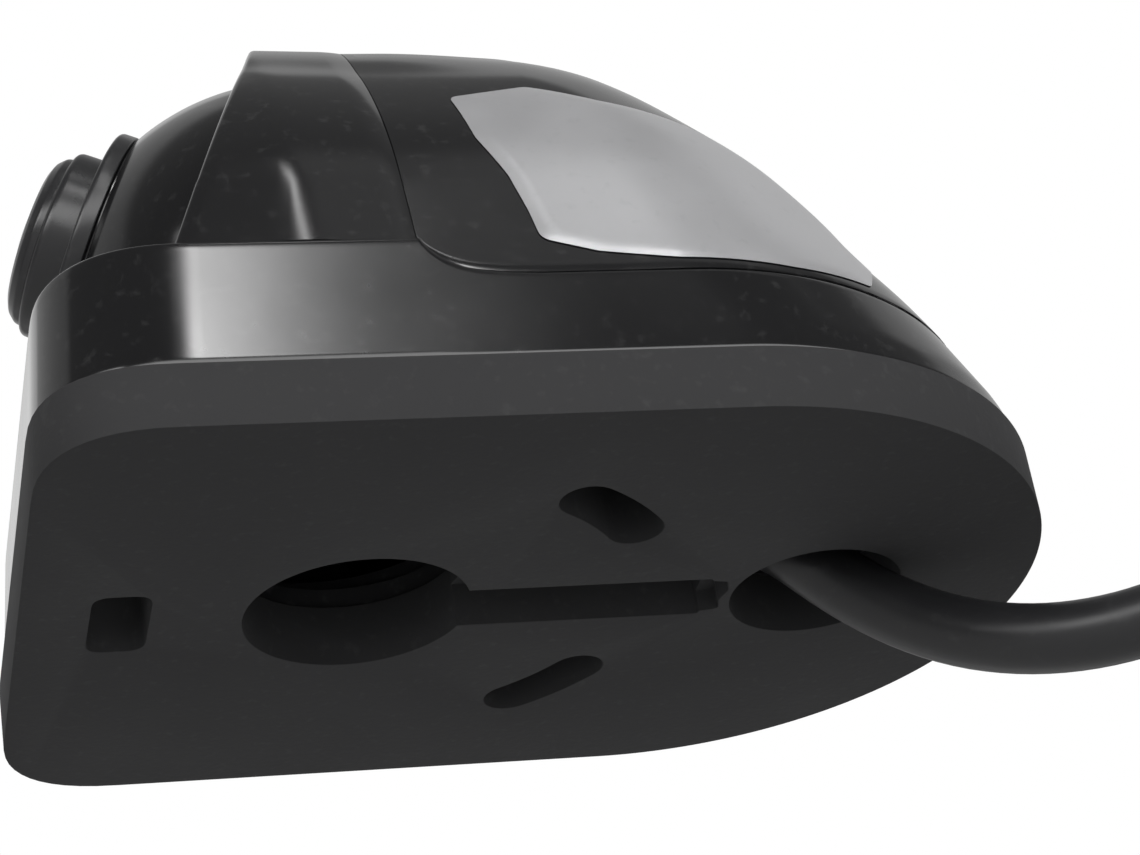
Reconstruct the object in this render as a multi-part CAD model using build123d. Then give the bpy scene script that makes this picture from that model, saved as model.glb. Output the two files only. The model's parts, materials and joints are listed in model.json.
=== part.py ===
from build123d import *
import math
import os

os.makedirs("parts", exist_ok=True)

# Frame: +Z away from the panel, lens end at -X, cable end at +X, millimetres.
# The origin is on the mounting face, at the centre of the large hole.

# base pad
PAD_T = 5.6
PAD_FRONT = -28.4
PAD_HALF = 32.4
PAD_TAIL = 59.9
PAD_CORNER = 8.8
HOLE_R = 9.7
GROOVE_W = 6.4
GROOVE_DEPTH = 4.0
GROOVE_END = 31.0
EXIT_X = 40.5
EXIT_R = 7.6
SLOT_X = -20.0
SLOT_W = 5.0
SLOT_L = 9.9
SLOT_CORNER = 1.6
ARC_CENTRE_X = 3.0
ARC_R = 22.6
ARC_W = 4.8
ARC_FROM = 34.6
ARC_SPAN = 18.8

# lower housing: a tub with drafted walls
TUB_TOP = 17.5
TUB_WALL = 1.8
TUB_CORNER = 9.5
# each level: height, front x, half width, tail x
TUB_LEVELS = [(PAD_T, -28.0, 31.8, 59.7), (8.0, -27.85, 31.65, 59.0), (TUB_TOP, -27.15, 31.0, 53.6)]
STEP_Z = 13.8
# (distance behind the step's start, height) of the curve that the cover sits down on
STEP_CURVE = [(0.0, 17.7), (0.7, 16.5), (1.9, 15.35), (3.6, 14.5), (6.2, 14.0), (9.5, STEP_Z)]
STEP_X = 2.8
SEAM = 0.2

# arched section that the hood and the rear cover share
FLANK_Z = 25.0
FLANK_SLOPE = 0.2914
SIDE_R = 45.0
SIDE_CENTRE = (-14.4, 12.44)
CROWN_R = 20.6
CROWN_Z = 32.2
CROWN_DIR = (0.592, 0.806)
HOOD_INSET = 0.15
HOOD_WALL = 1.3
HOOD_FRONT = -16.6
HOOD_LEAN = 0.4
HOOD_REAR = 2.7
HOOD_ROLL = 1.1
HOOD_LOW = TUB_TOP + 0.1

# rear cover: half-round levels that shrink towards the crown
COVER_INSET = 0.5
COVER_WALL = 1.5
COVER_FRONT = 3.0
TONGUE_TOP = 31.0
# (height, tail x) of the sloping back
TAIL_LINE = [(13.0, 56.2), (17.5, 53.6), (22.5, 50.2), (28.0, 47.0), (34.0, 43.0), (39.0, 38.8),
             (43.5, 34.7), (47.0, 30.8), (49.5, 25.8), (51.0, 21.0), (52.0, 16.5)]
LABEL_PROUD = 0.3

# camera head
BALL = (-1.7, 0.0, 28.6)
BALL_R = 21.5
BALL_WALL = 2.4
LENS_TILT = 23.6
FLAT_Y = 19.6
SEAM_S = -6.5
SEAL_R = 18.8
SHOULDER_S = 17.7
NECK_R = 10.8
NECK_S = 18.5
FRONT_S = 23.1
BORE_R = 7.6

# tilt bracket
PLATE_T = 2.0
PLATE_TOP = PAD_T + PLATE_T
BRACKET_T = 1.8
BRACKET_IN = 20.3
BRACKET_HOLE = 12.2
PIVOT_R = 2.5
RUN = 0.05

# cable and its plug
CABLE_R = 3.0
ROUTE = [(15, 1, 10.7), (33.7, 1, 10.7), (46, -3, -5), (57.5, -12, -12.5), (71, -22, -11.8),
         (83, -31, -19.8), (90.6, -36.7, -33.9), (91.5, -37.5, -46)]
COIL_R = 33.0
COIL_TURNS = 2
COIL_PITCH = 6.2
COIL_CENTRE = (91.5, -4.5, -51.0)
TAIL_X = COIL_CENTRE[0] + COIL_TURNS * COIL_PITCH
TAIL_Y = COIL_CENTRE[1] - COIL_R
BOOT_Z = -72.0
PLUG_Z = -81.0


def save(shape, name):
    """Write one node to its own file."""
    shape.label = name
    export_step(shape, "parts/" + name + ".step")
    print(name, "solids", len(shape.solids()), "volume", round(shape.volume, 1))


def both_sides(shape):
    """The shape and its mirror image across the XZ plane."""
    return shape + mirror(shape, about=Plane.XZ)


def rod(x, y, z_low, z_high, radius):
    """Upright cylinder."""
    return Pos(x, y, (z_low + z_high) / 2) * Cylinder(radius, z_high - z_low)


def block(x0, x1, y0, y1, z0, z1):
    """Box between two corners."""
    return Pos((x0 + x1) / 2, (y0 + y1) / 2, (z0 + z1) / 2) * Box(x1 - x0, y1 - y0, z1 - z0)


def outline(front, half, tail, corner):
    """Flat front with round corners, straight sides and a half-round tail."""
    centre = tail - half
    edges = [
        Line((front, half - corner), (front, -half + corner)),
        CenterArc((front + corner, -half + corner), corner, 180, 90),
        Line((front + corner, -half), (centre, -half)),
        CenterArc((centre, 0), half, -90, 180),
        Line((centre, half), (front + corner, half)),
        CenterArc((front + corner, half - corner), corner, 90, 90),
    ]
    return make_face(edges)


def half_width(z, inset):
    """Half width of the arched section at a height, moved inwards by an inset."""
    if z <= FLANK_Z:
        return 31.0 - FLANK_SLOPE * (z - TUB_TOP) - inset * math.hypot(1, FLANK_SLOPE)
    if z <= CROWN_Z + (CROWN_R - inset) * CROWN_DIR[1]:
        return SIDE_CENTRE[0] + math.sqrt((SIDE_R - inset) ** 2 - (z - SIDE_CENTRE[1]) ** 2)
    return math.sqrt(max((CROWN_R - inset) ** 2 - (z - CROWN_Z) ** 2, 0.0))


def arch_face(inset, low):
    """Arched section as a face in the YZ plane, flat at its lower end."""
    shoulder_y = (CROWN_R - inset) * CROWN_DIR[0]
    shoulder_z = CROWN_Z + (CROWN_R - inset) * CROWN_DIR[1]
    middle_z = (FLANK_Z + shoulder_z) / 2
    low_y = half_width(low, inset)
    flank_y = half_width(FLANK_Z, inset)
    middle_y = half_width(middle_z, inset)
    edges = [
        Line((-low_y, low), (low_y, low)),
        Line((low_y, low), (flank_y, FLANK_Z)),
        ThreePointArc((flank_y, FLANK_Z), (middle_y, middle_z), (shoulder_y, shoulder_z)),
        ThreePointArc((shoulder_y, shoulder_z), (0, CROWN_Z + CROWN_R - inset), (-shoulder_y, shoulder_z)),
        ThreePointArc((-shoulder_y, shoulder_z), (-middle_y, middle_z), (-flank_y, FLANK_Z)),
        Line((-flank_y, FLANK_Z), (-low_y, low)),
    ]
    return Plane.YZ * make_face(edges)


def arch(inset, low, x0, x1):
    """Solid arch between two stations along X."""
    return extrude(Pos(x0, 0, 0) * arch_face(inset, low), x1 - x0, dir=(1, 0, 0))


def back_body(inset, drop, pull, front):
    """Solid of the sloping back: half-round levels joined by one smooth loft."""
    faces = []
    for z, tail in TAIL_LINE:
        half = half_width(z - drop, inset)
        end = tail - pull
        centre = end - half
        edges = [
            Line((front, half), (front, -half)),
            Line((front, -half), (centre, -half)),
            CenterArc((centre, 0), half, -90, 180),
            Line((centre, half), (front, half)),
        ]
        faces.append(Pos(0, 0, z - drop) * make_face(edges))
    return loft(faces)


def slot_cutters(grow, z0, z1):
    """Tools for the front slot and the two arc slots."""
    front = RectangleRounded(SLOT_W + 2 * grow, SLOT_L + 2 * grow, SLOT_CORNER + grow)
    centreline = CenterArc((ARC_CENTRE_X, 0), ARC_R, ARC_FROM, ARC_SPAN)
    side = SlotArc(centreline, ARC_W + 2 * grow)
    tools = extrude(Pos(SLOT_X, 0, z0) * front, z1 - z0)
    return tools + both_sides(extrude(Pos(0, 0, z0) * side, z1 - z0))


def base_gasket():
    pad = extrude(outline(PAD_FRONT, PAD_HALF, PAD_TAIL, PAD_CORNER), PAD_T)
    pad = fillet(pad.edges().group_by(Axis.Z)[0], 0.6)
    pad -= rod(0, 0, -1, PAD_T + 1, HOLE_R)
    pad -= rod(EXIT_X, 0, -1, PAD_T + 1, EXIT_R)
    pad -= slot_cutters(0, -1, PAD_T + 1)
    pad -= block(0, GROOVE_END, -GROOVE_W / 2, GROOVE_W / 2, -1, GROOVE_DEPTH)
    pad -= block(GROOVE_END - 1, GROOVE_END + 1.4, -GROOVE_W / 2, GROOVE_W / 2, -1, GROOVE_DEPTH / 2)
    return pad


PLATE_SCREWS = [(-21.7, 25.4), (38.3, 23.1)]
BRACKET_SCREWS = [(-9.5, 22.4), (7.5, 22.4)]
HOOD_SCREW = (-5.0, 26.2)
COVER_SCREW = (24.0, 25.6)
CLAMP_SCREWS = [(20.0, 7.7), (20.0, -5.7)]


def mounting_plate():
    plate = extrude(Pos(0, 0, PAD_T) * outline(-26.0, 29.7, 57.0, 7.5), PLATE_T)
    plate -= rod(0, 0, 0, 10, HOLE_R + 0.5)
    plate -= extrude(Pos(36.5, 0, PAD_T - 1) * SlotOverall(23.0, 14.0), PLATE_T + 2)
    plate -= slot_cutters(0.2, PAD_T - 1, PLATE_TOP + 1)
    for x, y in PLATE_SCREWS:
        sink = Pos(x, y, PAD_T + 0.7) * Cone(2.45, 1.35, 1.4)
        plate -= both_sides(sink + rod(x, y, PAD_T, PLATE_TOP + 1, 1.35))
    for x, y in BRACKET_SCREWS:
        plate -= both_sides(rod(x, y, 0, 10, 1.25))
    for x, y in CLAMP_SCREWS:
        plate -= rod(x, y, 0, 10, 1.15)
    return plate


def plate_screws():
    screws = Part()
    for x, y in PLATE_SCREWS:
        head = Pos(x, y, PAD_T + 0.65) * Cone(2.35, 1.25, 1.3)
        screws += both_sides(head + rod(x, y, PAD_T + 1.2, 12.0, 1.2))
    return screws


def step_profile(gap):
    """Side outline of the space behind the hood, where the tub is lower."""
    x0 = STEP_X + gap
    curve = Spline(*[(x0 + d, z + gap) for d, z in STEP_CURVE])
    rest = Polyline(curve @ 1, (70, STEP_Z + gap), (70, 60), (x0, 60), curve @ 0)
    return extrude(Plane.XZ * make_face([curve, *rest.edges()]), 40, both=True)


def tub_body(inset):
    faces = []
    for z, front, half, tail in TUB_LEVELS:
        faces.append(Pos(0, 0, z) * outline(front + inset, half - inset, tail - inset, TUB_CORNER - inset))
    return loft(faces, ruled=True)


def lower_housing():
    outer = tub_body(0)
    shell = outer - tub_body(TUB_WALL)
    inside = Part()
    front_x, front_y = PLATE_SCREWS[0]
    rear_x, rear_y = PLATE_SCREWS[1]
    inside += both_sides(rod(front_x, front_y, PLATE_TOP, 14.0, 3.4))
    inside += both_sides(rod(rear_x, rear_y, PLATE_TOP, 13.0, 3.4))
    inside += both_sides(block(-9, -1, 22.5, 31.5, 12.0, 14.5))
    inside += both_sides(block(20, 28, 22.0, 31.5, 11.4, STEP_Z))
    shell += inside & outer
    shell -= step_profile(0)
    top_front = shell.edges().filter_by_position(Axis.Z, TUB_TOP - 0.01, TUB_TOP + 0.01)
    outer_rim = [e for e in top_front if (e @ 0.5).X < -26.9 or abs((e @ 0.5).Y) > 30.8 or corner_edge(e)]
    shell = fillet(outer_rim, 0.35)
    for x, y in PLATE_SCREWS:
        shell -= both_sides(rod(x, y, PAD_T, 12.2, 1.22))
    shell -= both_sides(rod(HOOD_SCREW[0], HOOD_SCREW[1], 10, 20, 1.4))
    shell -= both_sides(rod(COVER_SCREW[0], COVER_SCREW[1], 10, 20, 1.4))
    return shell


def corner_edge(edge):
    """True for the outer arc of a front corner of the tub's rim."""
    return edge.geom_type == GeomType.CIRCLE and edge.radius > TUB_CORNER - 0.5 and edge.radius < TUB_CORNER + 0.5


def hood():
    shell = arch(HOOD_INSET, HOOD_LOW, -30, HOOD_REAR)
    outer_rear = shell.edges().filter_by_position(Axis.X, HOOD_REAR - 0.01, HOOD_REAR + 0.01)
    shell = fillet([e for e in outer_rear if (e @ 0.5).Z > HOOD_LOW + 0.1], HOOD_ROLL)
    shell -= arch(HOOD_INSET + HOOD_WALL, HOOD_LOW - 1, -31, HOOD_REAR + 1)
    strip = block(-14.0, -2.5, 27.3, 28.9, 14.5, 20.5)
    lug = block(-9, -1, 22.5, 28.9, 14.5, 17.0)
    shell += both_sides(strip + lug)
    lean = Plane(origin=(HOOD_FRONT, 0, TUB_TOP), z_dir=(1, 0, -HOOD_LEAN))
    shell = split(shell, bisect_by=lean, keep=Keep.TOP)
    shell -= both_sides(rod(HOOD_SCREW[0], HOOD_SCREW[1], 10, 16.9, 1.15))
    return shell


def pan_screw(x, y, seat, length, radius, head_r, head_h, way):
    """Screw with a domed head; way is +1 when the shank points up."""
    head = Pos(x, y, seat - way * head_h / 2) * Cylinder(head_r, head_h)
    far = head.edges().sort_by(Axis.Z)
    rim = far[0] if way > 0 else far[-1]
    head = fillet([rim], head_h * 0.4)
    shank = Pos(x, y, seat + way * length / 2) * Cylinder(radius, length)
    return head + shank


def hood_screws():
    return both_sides(pan_screw(HOOD_SCREW[0], HOOD_SCREW[1], 12.0, 4.8, 1.1, 2.1, 1.6, 1))


def rear_cover():
    outer = back_body(COVER_INSET, 0, 0, COVER_FRONT)
    inner = back_body(COVER_INSET + COVER_WALL, COVER_WALL, 0.8, COVER_FRONT - 2)
    keep = step_profile(SEAM)
    shell = (outer - inner) & keep
    tongue = arch(1.8, 20.5, HOOD_REAR - 1.5, COVER_FRONT + 2) - arch(2.9, 20, 0, COVER_FRONT + 3)
    shell += tongue - block(0, 10, -30, 30, TONGUE_TOP, 60)
    lug = block(20, 28, 22.0, 29.2, STEP_Z, 16.4) & outer
    shell += both_sides(lug)
    shell -= both_sides(rod(COVER_SCREW[0], COVER_SCREW[1], 10, 16.2, 1.15))
    return shell


def cover_screws():
    return both_sides(pan_screw(COVER_SCREW[0], COVER_SCREW[1], 11.4, 4.6, 1.1, 2.1, 1.6, 1))


LABEL_OUTLINE = [(8.9, 34.7), (15.3, 37.0), (21.6, 34.7), (35.7, 29.3), (41.2, 23.8), (43.0, 16.0),
                 (34.2, 14.6), (24.1, 14.8), (19.3, 16.2), (13.0, 18.9), (10.5, 28.2)]


def label_plate():
    """Thin sticker that follows the cover's flank."""
    wire = Polyline(*LABEL_OUTLINE, close=True)
    face = make_face(wire)
    face = fillet(face.vertices(), 1.6)
    prism = extrude(Plane.XZ * face, 40)
    skin = back_body(COVER_INSET - LABEL_PROUD, 0, -LABEL_PROUD, COVER_FRONT + 1)
    return (skin - back_body(COVER_INSET, 0, 0, COVER_FRONT)) & prism


def tilt_bracket():
    base = block(-16.8, 13.4, -25, 25, PLATE_TOP, PLATE_TOP + BRACKET_T)
    base = fillet(base.edges().filter_by(Axis.Z), 3)
    base -= rod(BALL[0], 0, 0, 20, BRACKET_HOLE)
    side = Pos(BALL[0], (PLATE_TOP + BALL[2]) / 2) * Rectangle(11, BALL[2] - PLATE_TOP)
    side += Pos(BALL[0], BALL[2]) * Circle(5.5)
    side -= Pos(BALL[0], BALL[2]) * Circle(PIVOT_R + RUN)
    upright = Pos(0, BRACKET_IN + BRACKET_T, 0) * extrude(Plane.XZ * side, BRACKET_T)
    part = base + both_sides(upright)
    for x, y in BRACKET_SCREWS:
        part -= both_sides(rod(x, y, 5, 12, 1.35))
    return part


def bracket_screws():
    screws = Part()
    for x, y in BRACKET_SCREWS:
        screws += both_sides(pan_screw(x, y, PLATE_TOP + BRACKET_T, 3.6, 1.2, 2.2, 1.5, -1))
    return screws


def cable_clamp():
    y0 = ROUTE[0][1]
    z0 = ROUTE[0][2]
    arch_out = Pos(y0, z0) * Circle(4.7) + Pos(y0, (z0 + PLATE_TOP) / 2) * Rectangle(9.4, z0 - PLATE_TOP)
    feet = Pos(y0, PLATE_TOP + 0.9) * Rectangle(17.2, 1.8)
    hollow = Pos(y0, z0) * Circle(CABLE_R) + Pos(y0, z0 / 2) * Rectangle(2 * CABLE_R, z0)
    section = (arch_out + feet - hollow) & Pos(y0, PLATE_TOP + 10) * Rectangle(40, 20)
    part = extrude(Pos(17, 0, 0) * (Plane.YZ * section), 6, dir=(1, 0, 0))
    for x, y in CLAMP_SCREWS:
        part -= rod(x, y, 5, 12, 1.2)
    return part


def clamp_screws():
    screws = Part()
    for x, y in CLAMP_SCREWS:
        screws += pan_screw(x, y, PLATE_TOP + 1.8, 3.6, 1.1, 1.65, 1.3, -1)
    return screws


def bend_radii(points):
    """One radius for each corner: 0.45 of the shorter run over the tangent of half the turn."""
    radii = []
    for a, b, c in zip(points, points[1:], points[2:]):
        first = Vector(*b) - Vector(*a)
        second = Vector(*c) - Vector(*b)
        turn = math.radians(first.get_angle(second))
        radii.append(0.45 * min(first.length, second.length) / math.tan(turn / 2))
    print("bend radii", [round(r, 1) for r in radii])
    return radii


def cable():
    path = FilletPolyline(*ROUTE, radius=bend_radii(ROUTE))
    section = Plane(origin=path @ 0, z_dir=path % 0) * Circle(CABLE_R)
    tube = sweep(section, path=path)
    print("cable length", round(path.length, 1), "volume", round(path.length * math.pi * CABLE_R**2, 1))
    return tube


def cable_coil():
    """Outer shape of the wound turns."""
    width = COIL_TURNS * COIL_PITCH + 2 * CABLE_R
    section = RectangleRounded(width, 2 * CABLE_R, CABLE_R - 0.1)
    face = Plane.XZ * (Pos(width / 2 - CABLE_R, COIL_R) * section)
    return Pos(*COIL_CENTRE) * revolve(face, Axis.X)


def cable_tie():
    """Strap with a lock block round the top of the coil."""
    width = COIL_TURNS * COIL_PITCH + 2 * CABLE_R
    x = COIL_CENTRE[0] - CABLE_R + width / 2
    z = COIL_CENTRE[2] + COIL_R
    outer = fillet(Box(width + 2.4, 4.5, 2 * CABLE_R + 2.6).edges().filter_by(Axis.Y), 3.2)
    inner = fillet(Box(width + 0.2, 6, 2 * CABLE_R + 0.4).edges().filter_by(Axis.Y), 2.6)
    lock = Pos(2.0, 0, CABLE_R + 2.3) * fillet(Box(5.5, 5.6, 3.0).edges().filter_by(Axis.Z), 0.8)
    return Pos(x, COIL_CENTRE[1], z) * (outer - inner + (lock - inner))


def cable_tail():
    return rod(TAIL_X, TAIL_Y, PLUG_Z - 2, COIL_CENTRE[2], CABLE_R)


def turned(points):
    """Solid of revolution about the plug's axis; points are (radius, height)."""
    face = make_face(Polyline(*points, close=True))
    return Pos(TAIL_X, TAIL_Y, 0) * revolve(Plane.XZ * face, Axis.Z)


def plug_boot():
    z = PLUG_Z
    return turned([(CABLE_R, BOOT_Z), (3.7, BOOT_Z), (4.3, z + 4.5), (5.2, z + 4.0), (5.2, z), (CABLE_R, z)])


def plug_body():
    z = PLUG_Z
    return turned([(CABLE_R, z), (6.2, z), (6.2, z - 3), (7.0, z - 3.6), (7.0, z - 11.6), (6.4, z - 12.2),
                   (5.95, z - 12.2), (5.95, z - 26), (4.9, z - 26), (4.9, z - 6), (CABLE_R, z - 4)])


def plug_insert():
    z = PLUG_Z
    part = rod(TAIL_X, TAIL_Y, z - 21, z - 10, 4.88)
    for angle in range(45, 360, 90):
        a = math.radians(angle)
        part -= rod(TAIL_X + 2.5 * math.cos(a), TAIL_Y + 2.5 * math.sin(a), z - 30, z, 0.8)
    return part


def plug_pins():
    pins = Part()
    for angle in range(45, 360, 90):
        a = math.radians(angle)
        pins += rod(TAIL_X + 2.5 * math.cos(a), TAIL_Y + 2.5 * math.sin(a), PLUG_Z - 24.5, PLUG_Z - 8, 0.78)
    return pins


def coupling_nut():
    z = PLUG_Z
    ring = turned([(6.0, z - 12.5), (7.4, z - 12.5), (8.0, z - 13.1), (8.0, z - 22), (7.6, z - 22.6),
                   (7.6, z - 25.4), (7.2, z - 26), (6.0, z - 26)])
    for i in range(24):
        a = 2 * math.pi * i / 24
        ring -= rod(TAIL_X + 8.1 * math.cos(a), TAIL_Y + 8.1 * math.sin(a), z - 21.5, z - 13.8, 0.45)
    return ring


def in_head(shape):
    """Move a shape from the head's own frame, lens axis +Z, to its place."""
    return Pos(*BALL) * Rot(0, LENS_TILT - 90, 0) * shape


def ring_of(points):
    """Solid of revolution about the lens axis; points are (radius, station)."""
    return revolve(Plane.XZ * make_face(Polyline(*points, close=True)), Axis.Z)


def slab(s0, s1, size):
    """Flat block across the lens axis between two stations."""
    return Pos(0, 0, (s0 + s1) / 2) * Box(size, size, s1 - s0)


BOARD_X = 7.2
BOARD_Y = 9.0
HALF_SCREW = 12.0


def half_bosses(s0, s1):
    """Bosses that the screws of the two ball halves go through."""
    boss = block(9.8, 20.0, -2.4, 2.4, s0, s1) & Sphere(BALL_R - 1)
    return boss + mirror(boss, about=Plane.YZ)


def ball_front():
    ball = Sphere(BALL_R) - rod(0, 0, SHOULDER_S, 30, 20) + rod(0, 0, 12, NECK_S, NECK_R)
    ball -= Sphere(BALL_R - BALL_WALL)
    boss = Pos(0, 17.6, 0) * Rot(90, 0, 0) * Cylinder(7.5, 4.6)
    ball += both_sides(boss)
    ball += half_bosses(SEAM_S, 1.0)
    posts = rod(BOARD_X, -BOARD_Y, 0.6, 16.6, 1.6) + rod(-BOARD_X, BOARD_Y, 0.6, 16.6, 1.6)
    ball += posts
    ball -= both_sides(block(-30, 30, FLAT_Y, 40, -30, 30))
    ball -= block(-30, 30, -30, 30, -40, SEAM_S)
    ball -= rod(0, 0, 10, 20, BORE_R)
    ball -= both_sides(Pos(0, 17.4, 0) * Rot(90, 0, 0) * Cylinder(2.05, 6))
    ball -= rod(BOARD_X, -BOARD_Y, 0, 6, 0.97) + rod(-BOARD_X, BOARD_Y, 0, 6, 0.97)
    ball -= rod(HALF_SCREW, 0, -8, 0.2, 1.02) + rod(-HALF_SCREW, 0, -8, 0.2, 1.02)
    ball -= Pos(0, 0, SEAM_S) * Torus(SEAL_R, 0.45)
    return ball


def ball_rear():
    ball = Sphere(BALL_R) - Sphere(BALL_R - BALL_WALL)
    ball += half_bosses(-15.0, SEAM_S)
    ball -= both_sides(block(-30, 30, FLAT_Y, 40, -30, 30))
    ball -= block(-30, 30, -30, 30, SEAM_S, 40)
    for x in (HALF_SCREW, -HALF_SCREW):
        ball -= rod(x, 0, -22, -5, 1.1) + rod(x, 0, -22, -10.8, 2.1)
    ball -= Pos(0, 0, SEAM_S) * Torus(SEAL_R, 0.45)
    return ball


def ball_seal():
    return Pos(0, 0, SEAM_S) * Torus(SEAL_R, 0.45)


def ball_screws():
    screw = pan_screw(HALF_SCREW, 0, -10.8, 10.6, 1.0, 1.9, 1.5, 1)
    return screw + mirror(screw, about=Plane.YZ)


def pivot_screws():
    """Shoulder screws: head outside the bracket, shoulder in it, thread in the ball."""
    face = BRACKET_IN + BRACKET_T + 0.1
    head = Pos(0, face + 0.75, 0) * Rot(90, 0, 0) * Cylinder(3.6, 1.5)
    shoulder = Pos(0, (FLAT_Y + face) / 2, 0) * Rot(90, 0, 0) * Cylinder(PIVOT_R, face - FLAT_Y)
    thread = Pos(0, FLAT_Y - 2.5, 0) * Rot(90, 0, 0) * Cylinder(2.0, 5.0)
    return both_sides(head + shoulder + thread)


def friction_washers():
    ring = Cylinder(6.0, 0.6) - Cylinder(PIVOT_R + 0.02, 2)
    return both_sides(Pos(0, FLAT_Y + 0.3, 0) * Rot(90, 0, 0) * ring)


def bezel():
    return ring_of([(6.95, 15.0), (7.55, 15.0), (7.55, NECK_S), (11.25, NECK_S), (11.25, 19.8), (10.95, 20.1),
                    (8.45, 20.1), (8.45, FRONT_S - 0.35), (8.1, FRONT_S), (6.95, FRONT_S)])


def lens_ring():
    z = FRONT_S
    return ring_of([(6.4, z), (7.72, z), (7.65, z + 0.5), (7.3, z + 1.05), (6.8, z + 1.4), (6.3, z + 1.6),
                    (5.75, z + 1.6), (5.75, z + 1.3), (6.4, z + 1.3)])


def front_glass():
    """Domed window with a flange under the lens ring."""
    dome_r = 15.7
    inner_r = 14.4
    apex = FRONT_S + 2.4
    low = FRONT_S + 0.05
    body = rod(0, 0, low, FRONT_S + 1.2, 6.3) + rod(0, 0, low, apex, 5.65)
    body = body & (Pos(0, 0, apex - dome_r) * Sphere(dome_r) + rod(0, 0, FRONT_S - 1, FRONT_S + 1.25, 7))
    return body - (Pos(0, 0, apex - 1.3 - inner_r) * Sphere(inner_r) & rod(0, 0, FRONT_S - 1, apex, 4.9))


def lens_barrel():
    return ring_of([(3.5, 6.0), (6.0, 6.0), (6.0, 14.9), (6.8, 14.9), (6.8, 22.9), (5.3, 22.9), (5.3, 19.2),
                    (4.3, 19.2), (4.3, 11.0), (3.5, 11.0)])


def lens(radius, s0, s1, bulge):
    """Lens element: a disc whose front face bulges by a given rise."""
    curve = (radius**2 + bulge**2) / (2 * bulge)
    disc = rod(0, 0, s0, s1 + bulge, radius)
    return disc & Pos(0, 0, s1 + bulge - curve) * Sphere(curve)


def lens_front():
    return lens(5.28, 19.2, 20.8, 1.6)


def lens_middle():
    return lens(4.28, 11.0, 13.6, 1.0)


def lens_rear():
    return lens(3.48, 7.0, 9.6, 0.9)


def lens_holder():
    body = slab(0.6, 3.2, 14.0) + rod(0, 0, 3.2, 12.0, 7.4)
    body -= slab(0.0, 2.6, 11.0)
    body -= rod(0, 0, 2.0, 13.0, 3.4) + rod(0, 0, 5.2, 13.0, 6.02)
    body -= slab(3.6, 4.2, 5.7)
    return body


def ir_filter():
    return slab(3.6, 4.0, 5.6)


def image_sensor():
    return fillet(slab(0.6, 1.9, 7.4).edges().filter_by(Axis.Z), 0.3)


def sensor_board():
    board = Box(18.0, 21.0, 1.2)
    board = fillet(board.edges().filter_by(Axis.Z), 1.5)
    for x, y in ((BOARD_X, -BOARD_Y), (-BOARD_X, BOARD_Y)):
        board -= rod(x, y, -2, 2, 1.1)
    return board


def board_screws():
    first = pan_screw(BOARD_X, -BOARD_Y, -0.6, 5.0, 0.95, 1.45, 1.2, 1)
    second = pan_screw(-BOARD_X, BOARD_Y, -0.6, 5.0, 0.95, 1.45, 1.2, 1)
    return first + second


FIXED = {
    "base_gasket": base_gasket, "mounting_plate": mounting_plate, "plate_screws": plate_screws,
    "lower_housing": lower_housing, "hood": hood, "hood_screws": hood_screws, "rear_cover": rear_cover,
    "cover_screws": cover_screws, "label_plate": label_plate, "tilt_bracket": tilt_bracket,
    "bracket_screws": bracket_screws, "cable_clamp": cable_clamp, "clamp_screws": clamp_screws,
    "cable": cable, "cable_coil": cable_coil, "cable_tie": cable_tie, "cable_tail": cable_tail,
    "plug_boot": plug_boot, "plug_body": plug_body, "plug_insert": plug_insert, "plug_pins": plug_pins,
    "coupling_nut": coupling_nut,
}
TILTING = {
    "ball_front": ball_front, "ball_rear": ball_rear, "ball_seal": ball_seal, "ball_screws": ball_screws,
    "pivot_screws": pivot_screws, "friction_washers": friction_washers, "bezel": bezel,
    "lens_ring": lens_ring, "front_glass": front_glass, "lens_barrel": lens_barrel,
    "lens_front": lens_front, "lens_middle": lens_middle, "lens_rear": lens_rear,
    "lens_holder": lens_holder, "ir_filter": ir_filter, "image_sensor": image_sensor,
    "sensor_board": sensor_board, "board_screws": board_screws,
}

for name, make in FIXED.items():
    save(make(), name)
for name, make in TILTING.items():
    save(in_head(make()), name)
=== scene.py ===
import json
import math

import bpy
from mathutils import Matrix, Vector


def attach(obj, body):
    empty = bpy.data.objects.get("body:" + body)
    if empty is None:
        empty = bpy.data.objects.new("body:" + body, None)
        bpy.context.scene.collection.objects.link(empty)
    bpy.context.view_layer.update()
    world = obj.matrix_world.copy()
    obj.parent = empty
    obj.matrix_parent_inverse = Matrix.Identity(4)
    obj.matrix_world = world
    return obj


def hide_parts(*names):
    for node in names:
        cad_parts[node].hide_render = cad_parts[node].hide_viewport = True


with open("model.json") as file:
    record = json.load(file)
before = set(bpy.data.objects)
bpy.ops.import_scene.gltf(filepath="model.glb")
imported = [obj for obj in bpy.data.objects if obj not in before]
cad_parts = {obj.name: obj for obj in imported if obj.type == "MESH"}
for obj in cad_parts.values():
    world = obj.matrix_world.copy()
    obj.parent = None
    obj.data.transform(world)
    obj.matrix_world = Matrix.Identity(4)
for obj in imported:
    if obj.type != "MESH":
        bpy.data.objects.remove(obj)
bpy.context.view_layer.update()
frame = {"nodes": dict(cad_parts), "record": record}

bl_info = {
    "name": "Ball camera under a hood",
    "version": (1, 0, 0),
    "blender": (4, 5, 0),
    "location": "View3D > Sidebar > Camera part",
    "description": "Builds the looks of a surface-mounted camera with a tilting ball, a gasket and a cable",
    "category": "Object",
}

MM = 0.001

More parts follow.
